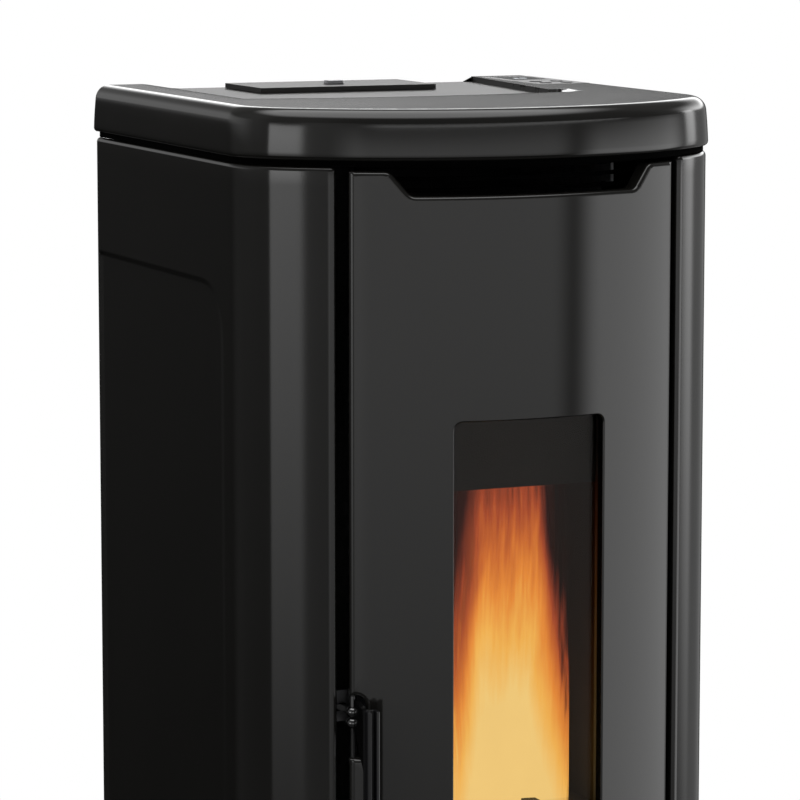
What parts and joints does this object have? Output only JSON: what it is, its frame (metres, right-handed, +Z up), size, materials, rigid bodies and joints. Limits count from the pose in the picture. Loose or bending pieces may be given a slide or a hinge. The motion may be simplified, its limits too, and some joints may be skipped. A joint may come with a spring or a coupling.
{
  "type": "pellet stove",
  "caption": "Free-standing pellet stove with a bowed front door and window, wrapped side panels, dished cover with hopper lid, ash drawer, firebox, fuel auger and fans.",
  "frame": {"origin": "middle of the stove's footprint on the floor, flue collar and cover included", "axes": "+X to the right seen from the front, the door faces -Y, +Z up"},
  "size_m": [0.4996, 0.5796, 1.084],
  "materials": {
    "bronze_black_paint": "dark bronze-black powder paint, satin gloss",
    "matt_black_paint": "matt black heat paint",
    "gloss_black": "gloss black enamel",
    "cast_iron": "grey-black cast iron",
    "steel": "plain steel",
    "galvanised_sheet": "galvanised sheet steel",
    "ceramic_glass": "smooth smoke-tinted glass",
    "sealing_rope": "woven glass-fibre sealing",
    "vermiculite": "pressed vermiculite board",
    "black_plastic": "satin black plastic",
    "circuit_board": "lacquered circuit board",
    "rubber": "moulded rubber"
  },
  "bodies": {
    "casing": {"top_cover": "bronze_black_paint", "left_side_panel": "bronze_black_paint", "right_side_panel": "bronze_black_paint", "rear_panel": "matt_black_paint", "base_plate": "matt_black_paint", "foot_front_left": "rubber", "foot_front_right": "rubber", "foot_rear_left": "rubber", "foot_rear_right": "rubber", "front_plinth": "bronze_black_paint", "chassis_left": "galvanised_sheet", "chassis_right": "galvanised_sheet", "air_outlet_grille": "matt_black_paint", "lid_hinge_pin": "steel", "hinge_bracket_upper": "steel", "hinge_bracket_lower": "steel", "strike_plate": "steel", "firebox": "cast_iron", "firebox_liner": "vermiculite", "baffle_plate": "vermiculite", "brazier_shelf": "cast_iron", "igniter": "steel", "heat_exchanger": "steel", "pellet_chute": "steel", "hopper": "galvanised_sheet", "hopper_grate": "steel", "auger_tube": "steel", "auger_motor": "matt_black_paint", "smoke_duct": "galvanised_sheet", "exhaust_fan_housing": "cast_iron", "exhaust_motor": "matt_black_paint", "flue_collar": "matt_black_paint", "air_intake_pipe": "galvanised_sheet", "room_fan_housing": "galvanised_sheet", "control_panel": "black_plastic", "display_window": "ceramic_glass", "control_board": "circuit_board", "power_inlet": "black_plastic"},
    "lid": {"hopper_lid": "bronze_black_paint", "lid_pull": "steel"},
    "door": {"door_skin": "bronze_black_paint", "door_frame": "cast_iron", "window_glass": "ceramic_glass", "glass_gasket": "sealing_rope", "door_seal": "sealing_rope", "latch_pin": "steel"},
    "latch": {"latch_handle": "gloss_black", "handle_grip": "gloss_black"},
    "ash_drawer": {"ash_drawer_front": "bronze_black_paint", "ash_drawer_box": "galvanised_sheet"},
    "burn_pot": {"brazier": "cast_iron"},
    "auger": {"auger_screw": "steel"},
    "exhaust_fan": {"exhaust_impeller": "steel"},
    "room_fan": {"room_fan_rotor": "steel"},
    "power_button": {"button_power": "black_plastic"},
    "plus_button": {"button_plus": "black_plastic"},
    "minus_button": {"button_minus": "black_plastic"},
    "menu_button": {"button_menu": "black_plastic"},
    "mains_rocker": {"rocker_switch": "black_plastic"}
  },
  "joints": [
    {"name": "door_hinge", "type": "hinge", "parent": "casing", "child": "door", "pos_m": [0.162, -0.235, 0.57], "axis": [0, 0, 1], "range_deg": [0, 100]},
    {"name": "latch_turn", "type": "hinge", "parent": "door", "child": "latch", "pos_m": [-0.1625, -0.234, 0.51], "axis": [0, 0, 1], "range_deg": [-60, 0]},
    {"name": "hopper_lid_hinge", "type": "hinge", "parent": "casing", "child": "lid", "pos_m": [-0.015, 0.233, 1.0722], "axis": [-1, 0, 0], "range_deg": [0, 85]},
    {"name": "ash_drawer_slide", "type": "slide", "parent": "casing", "child": "ash_drawer", "axis": [0, -1, 0], "range_m": [0, 0.2]},
    {"name": "burn_pot_lift", "type": "slide", "parent": "casing", "child": "burn_pot", "axis": [0, 0, 1], "range_m": [0, 0.08]},
    {"name": "auger_spin", "type": "hinge", "parent": "casing", "child": "auger", "pos_m": [0, 0.1408, 0.4592], "axis": [0, -0.7071, 0.7071], "continuous": true},
    {"name": "exhaust_fan_spin", "type": "hinge", "parent": "casing", "child": "exhaust_fan", "pos_m": [0.032, 0.1098, 0.32], "axis": [1, 0, 0], "continuous": true},
    {"name": "room_fan_spin", "type": "hinge", "parent": "casing", "child": "room_fan", "pos_m": [0, 0.1658, 0.1053], "axis": [1, 0, 0], "continuous": true},
    {"name": "power_button_press", "type": "slide", "parent": "casing", "child": "power_button", "axis": [0, 0, -1], "range_m": [0, 0.001], "stiffness_N_per_m": 150},
    {"name": "plus_button_press", "type": "slide", "parent": "casing", "child": "plus_button", "axis": [0, 0, -1], "range_m": [0, 0.001], "stiffness_N_per_m": 150},
    {"name": "minus_button_press", "type": "slide", "parent": "casing", "child": "minus_button", "axis": [0, 0, -1], "range_m": [0, 0.001], "stiffness_N_per_m": 150},
    {"name": "menu_button_press", "type": "slide", "parent": "casing", "child": "menu_button", "axis": [0, 0, -1], "range_m": [0, 0.001], "stiffness_N_per_m": 150},
    {"name": "mains_rocker_tilt", "type": "hinge", "parent": "casing", "child": "mains_rocker", "pos_m": [-0.17, 0.2458, 0.132], "axis": [1, 0, 0], "range_deg": [0, 12]}
  ]
}
